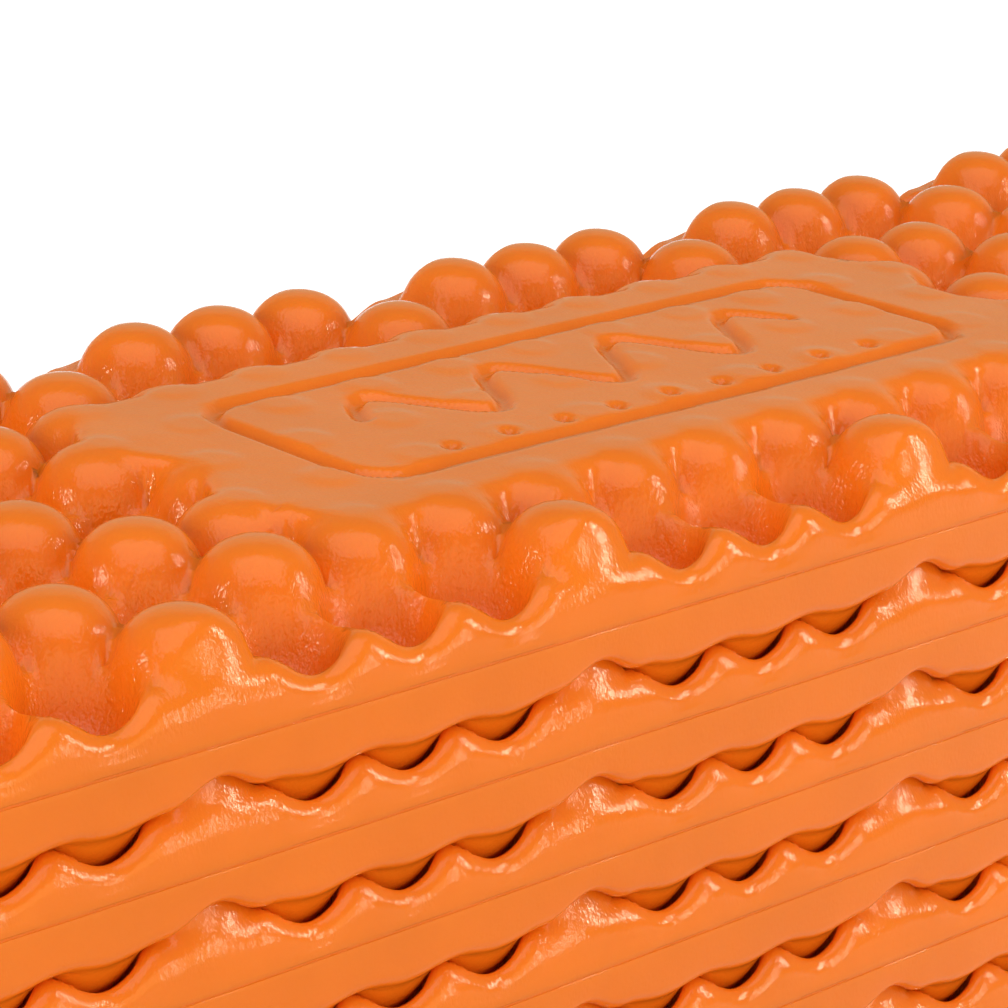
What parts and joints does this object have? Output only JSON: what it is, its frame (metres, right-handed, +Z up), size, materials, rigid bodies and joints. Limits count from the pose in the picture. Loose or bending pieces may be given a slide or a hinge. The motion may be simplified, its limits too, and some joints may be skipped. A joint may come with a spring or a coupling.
{
  "type": "folding foam sleeping pad",
  "caption": "Closed-cell foam sleeping pad folded like an accordion into a packed block, with nesting bumps on every panel and a reflective film underside.",
  "frame": {"origin": "bottom centre of the packed stack, level with the tips of the bumps that it rests on", "axes": "+X along the folds, across the sleeper; +Y from the front of the stack to its back; +Z up through the stack"},
  "size_m": [0.51, 0.1304, 0.1436],
  "materials": {
    "comfort_foam": "soft closed-cell polyethylene foam, orange, with a smooth moulded skin",
    "base_foam": "denser closed-cell polyethylene foam, orange, cut cells showing at the short ends",
    "reflective_film": "thin metallised film bonded to the foam, finely crinkled",
    "fold_web": "foam pressed thin along the crease"
  },
  "bodies": {
    "panel_01": {"comfort_foam_01": "comfort_foam", "base_foam_01": "base_foam", "reflective_film_01": "reflective_film", "fold_web_01": "fold_web"},
    "panel_02": {"comfort_foam_02": "comfort_foam", "base_foam_02": "base_foam", "reflective_film_02": "reflective_film", "fold_web_02": "fold_web"},
    "panel_03": {"comfort_foam_03": "comfort_foam", "base_foam_03": "base_foam", "reflective_film_03": "reflective_film", "fold_web_03": "fold_web"},
    "panel_04": {"comfort_foam_04": "comfort_foam", "base_foam_04": "base_foam", "reflective_film_04": "reflective_film", "fold_web_04": "fold_web"},
    "panel_05": {"comfort_foam_05": "comfort_foam", "base_foam_05": "base_foam", "reflective_film_05": "reflective_film", "fold_web_05": "fold_web"},
    "panel_06": {"comfort_foam_06": "comfort_foam", "base_foam_06": "base_foam", "reflective_film_06": "reflective_film", "fold_web_06": "fold_web"},
    "panel_07": {"comfort_foam_07": "comfort_foam", "base_foam_07": "base_foam", "reflective_film_07": "reflective_film", "fold_web_07": "fold_web"},
    "panel_08": {"comfort_foam_08": "comfort_foam", "base_foam_08": "base_foam", "reflective_film_08": "reflective_film", "fold_web_08": "fold_web"},
    "panel_09": {"comfort_foam_09": "comfort_foam", "base_foam_09": "base_foam", "reflective_film_09": "reflective_film", "fold_web_09": "fold_web"},
    "panel_10": {"comfort_foam_10": "comfort_foam", "base_foam_10": "base_foam", "reflective_film_10": "reflective_film", "fold_web_10": "fold_web"},
    "panel_11": {"comfort_foam_11": "comfort_foam", "base_foam_11": "base_foam", "reflective_film_11": "reflective_film", "fold_web_11": "fold_web"},
    "panel_12": {"comfort_foam_12": "comfort_foam", "base_foam_12": "base_foam", "reflective_film_12": "reflective_film", "fold_web_12": "fold_web"},
    "panel_13": {"comfort_foam_13": "comfort_foam", "base_foam_13": "base_foam", "reflective_film_13": "reflective_film", "fold_web_13": "fold_web"},
    "panel_14": {"comfort_foam_14": "comfort_foam", "base_foam_14": "base_foam", "reflective_film_14": "reflective_film"}
  },
  "joints": [
    {"name": "fold_01", "type": "hinge", "parent": "panel_01", "child": "panel_02", "pos_m": [0, -0.06536, 0.0166], "axis": [1, 0, 0], "range_deg": [0, 180]},
    {"name": "fold_02", "type": "hinge", "parent": "panel_02", "child": "panel_03", "pos_m": [0, 0.06536, 0.0258], "axis": [-1, 0, 0], "range_deg": [0, 180]},
    {"name": "fold_03", "type": "hinge", "parent": "panel_03", "child": "panel_04", "pos_m": [0, -0.06536, 0.035], "axis": [1, 0, 0], "range_deg": [0, 180]},
    {"name": "fold_04", "type": "hinge", "parent": "panel_04", "child": "panel_05", "pos_m": [0, 0.06536, 0.0442], "axis": [-1, 0, 0], "range_deg": [0, 180]},
    {"name": "fold_05", "type": "hinge", "parent": "panel_05", "child": "panel_06", "pos_m": [0, -0.06536, 0.0534], "axis": [1, 0, 0], "range_deg": [0, 180]},
    {"name": "fold_06", "type": "hinge", "parent": "panel_06", "child": "panel_07", "pos_m": [0, 0.06536, 0.0626], "axis": [-1, 0, 0], "range_deg": [0, 180]},
    {"name": "fold_07", "type": "hinge", "parent": "panel_07", "child": "panel_08", "pos_m": [0, -0.06536, 0.0718], "axis": [1, 0, 0], "range_deg": [0, 180]},
    {"name": "fold_08", "type": "hinge", "parent": "panel_08", "child": "panel_09", "pos_m": [0, 0.06536, 0.081], "axis": [-1, 0, 0], "range_deg": [0, 180]},
    {"name": "fold_09", "type": "hinge", "parent": "panel_09", "child": "panel_10", "pos_m": [0, -0.06536, 0.0902], "axis": [1, 0, 0], "range_deg": [0, 180]},
    {"name": "fold_10", "type": "hinge", "parent": "panel_10", "child": "panel_11", "pos_m": [0, 0.06536, 0.0994], "axis": [-1, 0, 0], "range_deg": [0, 180]},
    {"name": "fold_11", "type": "hinge", "parent": "panel_11", "child": "panel_12", "pos_m": [0, -0.06536, 0.1086], "axis": [1, 0, 0], "range_deg": [0, 180]},
    {"name": "fold_12", "type": "hinge", "parent": "panel_12", "child": "panel_13", "pos_m": [0, 0.06536, 0.1178], "axis": [-1, 0, 0], "range_deg": [0, 180]},
    {"name": "fold_13", "type": "hinge", "parent": "panel_13", "child": "panel_14", "pos_m": [0, -0.06536, 0.127], "axis": [1, 0, 0], "range_deg": [0, 180]}
  ]
}
